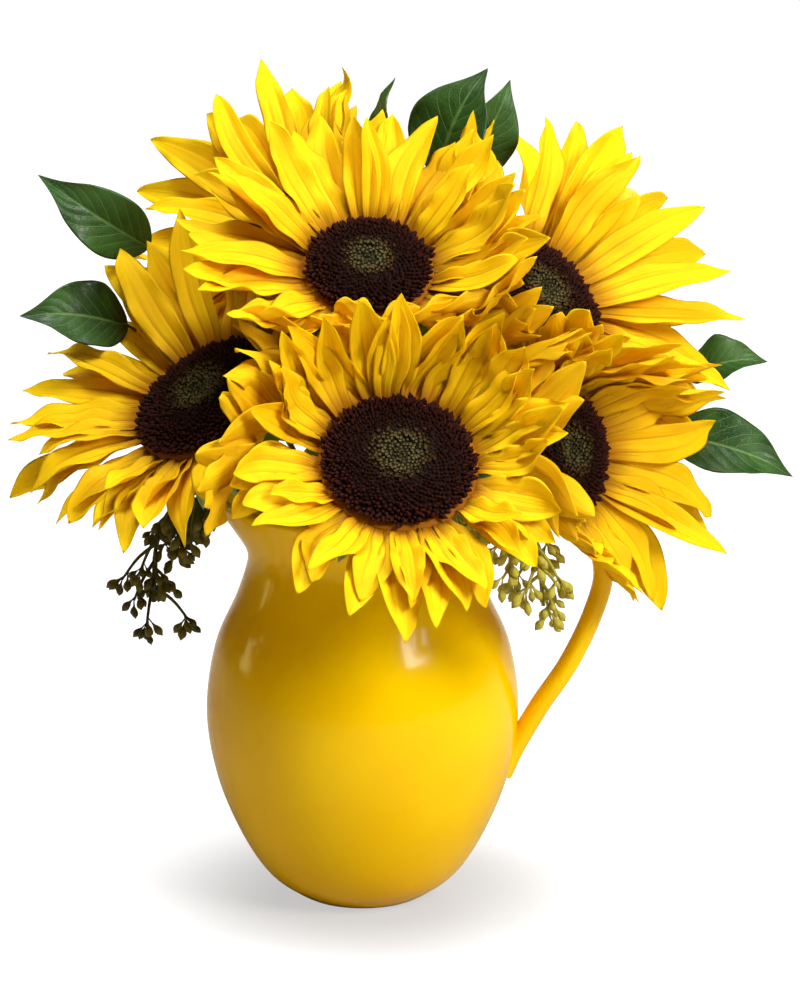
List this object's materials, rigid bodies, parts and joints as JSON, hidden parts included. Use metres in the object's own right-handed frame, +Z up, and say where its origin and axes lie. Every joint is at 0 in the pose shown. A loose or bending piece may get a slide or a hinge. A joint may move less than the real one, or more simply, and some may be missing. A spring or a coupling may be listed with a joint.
{
  "type": "sunflowers in a pitcher",
  "caption": "Bouquet of cut sunflowers with lemon leaf and seeded eucalyptus, standing in water in a round-bellied glazed pitcher with a looped handle.",
  "frame": {"origin": "middle of the pitcher's foot, on the surface that it stands on", "axes": "+Z up, -Y the front of the arrangement, +X towards the handle, -X towards the spout"},
  "size_m": [0.375, 0.3145, 0.392],
  "materials": {
    "yellow_glaze": "gloss",
    "water": "gloss",
    "petal": "matte",
    "floret": "matte",
    "green_stem": "satin",
    "lemon_leaf": "satin",
    "eucalyptus": "satin"
  },
  "bodies": {
    "root": {"pitcher": "yellow_glaze", "water": "water", "sunflower_front_stem": "green_stem", "sunflower_front_petals": "petal", "sunflower_front_disc": "floret", "sunflower_top_stem": "green_stem", "sunflower_top_petals": "petal", "sunflower_top_disc": "floret", "sunflower_left_stem": "green_stem", "sunflower_left_petals": "petal", "sunflower_left_disc": "floret", "sunflower_right_stem": "green_stem", "sunflower_right_petals": "petal", "sunflower_right_disc": "floret", "sunflower_low_right_stem": "green_stem", "sunflower_low_right_petals": "petal", "sunflower_low_right_disc": "floret", "sunflower_back_left_stem": "green_stem", "sunflower_back_left_petals": "petal", "sunflower_back_left_disc": "floret", "sunflower_back_stem": "green_stem", "sunflower_back_petals": "petal", "sunflower_back_disc": "floret", "leaf_sprig_left": "lemon_leaf", "leaf_sprig_top": "lemon_leaf", "leaf_sprig_right": "lemon_leaf", "leaf_sprig_back_left": "lemon_leaf", "leaf_sprig_back_right": "lemon_leaf", "eucalyptus_left": "eucalyptus", "eucalyptus_right": "eucalyptus"}
  },
  "joints": []
}
